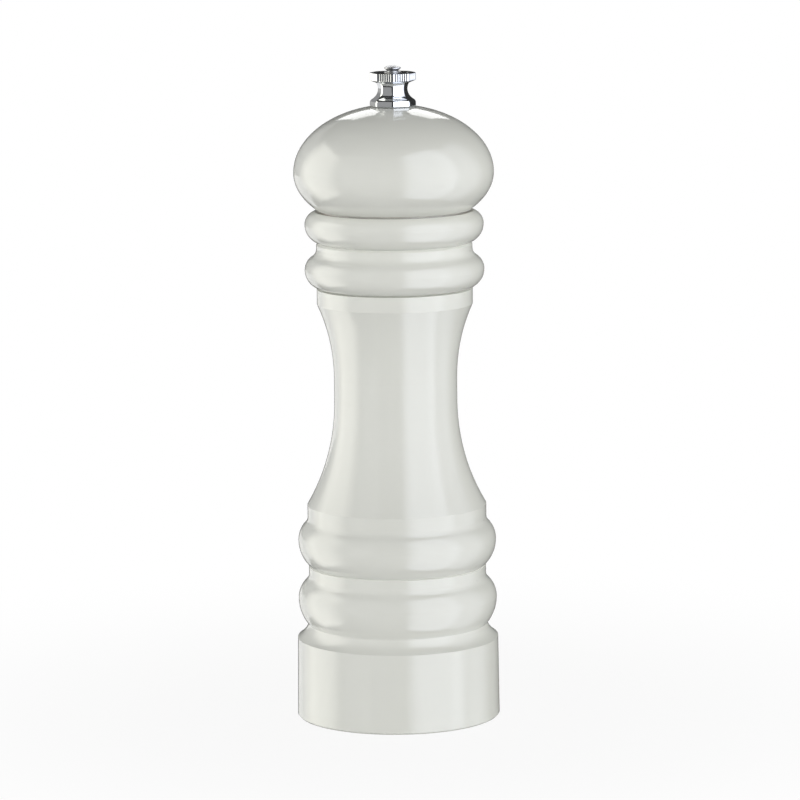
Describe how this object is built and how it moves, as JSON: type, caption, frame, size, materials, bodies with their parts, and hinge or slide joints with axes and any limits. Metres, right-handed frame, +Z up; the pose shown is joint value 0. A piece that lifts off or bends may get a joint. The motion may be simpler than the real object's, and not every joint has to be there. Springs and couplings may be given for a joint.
{
  "type": "pepper mill",
  "caption": "Turned pepper mill with a lacquered beaded body, a domed head that twists to grind, and a faceted chrome nut on a square spindle that sets the coarseness.",
  "frame": {"origin": "centre of the base, on the table that the mill stands on", "axes": "+Z up along the mill's axis, -Y towards the viewer of the picture, +X to the viewer's right"},
  "size_m": [0.0562, 0.0562, 0.1804],
  "materials": {
    "lacquered_beech": "ivory white gloss lacquer on beech, bare beech inside",
    "chrome_plate": "polished chrome plate",
    "bright_steel": "drawn bright steel",
    "zinc_plate": "zinc plated steel",
    "spring_steel": "drawn spring wire",
    "moulded_acetal": "black moulded acetal",
    "sintered_ceramic": "sintered white ceramic"
  },
  "bodies": {
    "body": {"mill_body": "lacquered_beech", "grinder_housing": "moulded_acetal", "stator_ring": "sintered_ceramic", "stator_retainer": "zinc_plate", "bearing_bridge": "moulded_acetal", "housing_screws": "zinc_plate"},
    "bush": {"drive_bush": "moulded_acetal", "bush_clip": "spring_steel"},
    "shaft": {"spindle": "bright_steel", "rotor_hub": "moulded_acetal", "rotor_cone": "sintered_ceramic", "spring_washer": "zinc_plate", "grinder_spring": "spring_steel", "end_washer": "zinc_plate", "retaining_clip": "spring_steel", "keeper_clip": "spring_steel"},
    "head": {"mill_head": "lacquered_beech", "drive_plate": "zinc_plate", "drive_plate_screws": "zinc_plate"},
    "nut": {"adjusting_nut": "chrome_plate"}
  },
  "joints": [
    {"name": "grind_turn", "type": "hinge", "parent": "body", "child": "bush", "pos_m": [0, 0, 0.036], "axis": [0, 0, 1], "continuous": true},
    {"name": "grind_set", "type": "slide", "parent": "bush", "child": "shaft", "axis": [0, 0, 1], "range_m": [-0.0012, 0.0004], "deforming": ["grinder_spring"]},
    {"name": "head_lift", "type": "slide", "parent": "bush", "child": "head", "axis": [0, 0, 1], "range_m": [0, 0.062]},
    {"name": "nut_turn", "type": "hinge", "parent": "head", "child": "nut", "pos_m": [0, 0, 0.1739], "axis": [0, 0, 1], "range_deg": [-225, 585]}
  ],
  "couplings": [
    {"joint": "nut_turn", "follows": "grind_set", "rad_per_m": -7854}
  ]
}
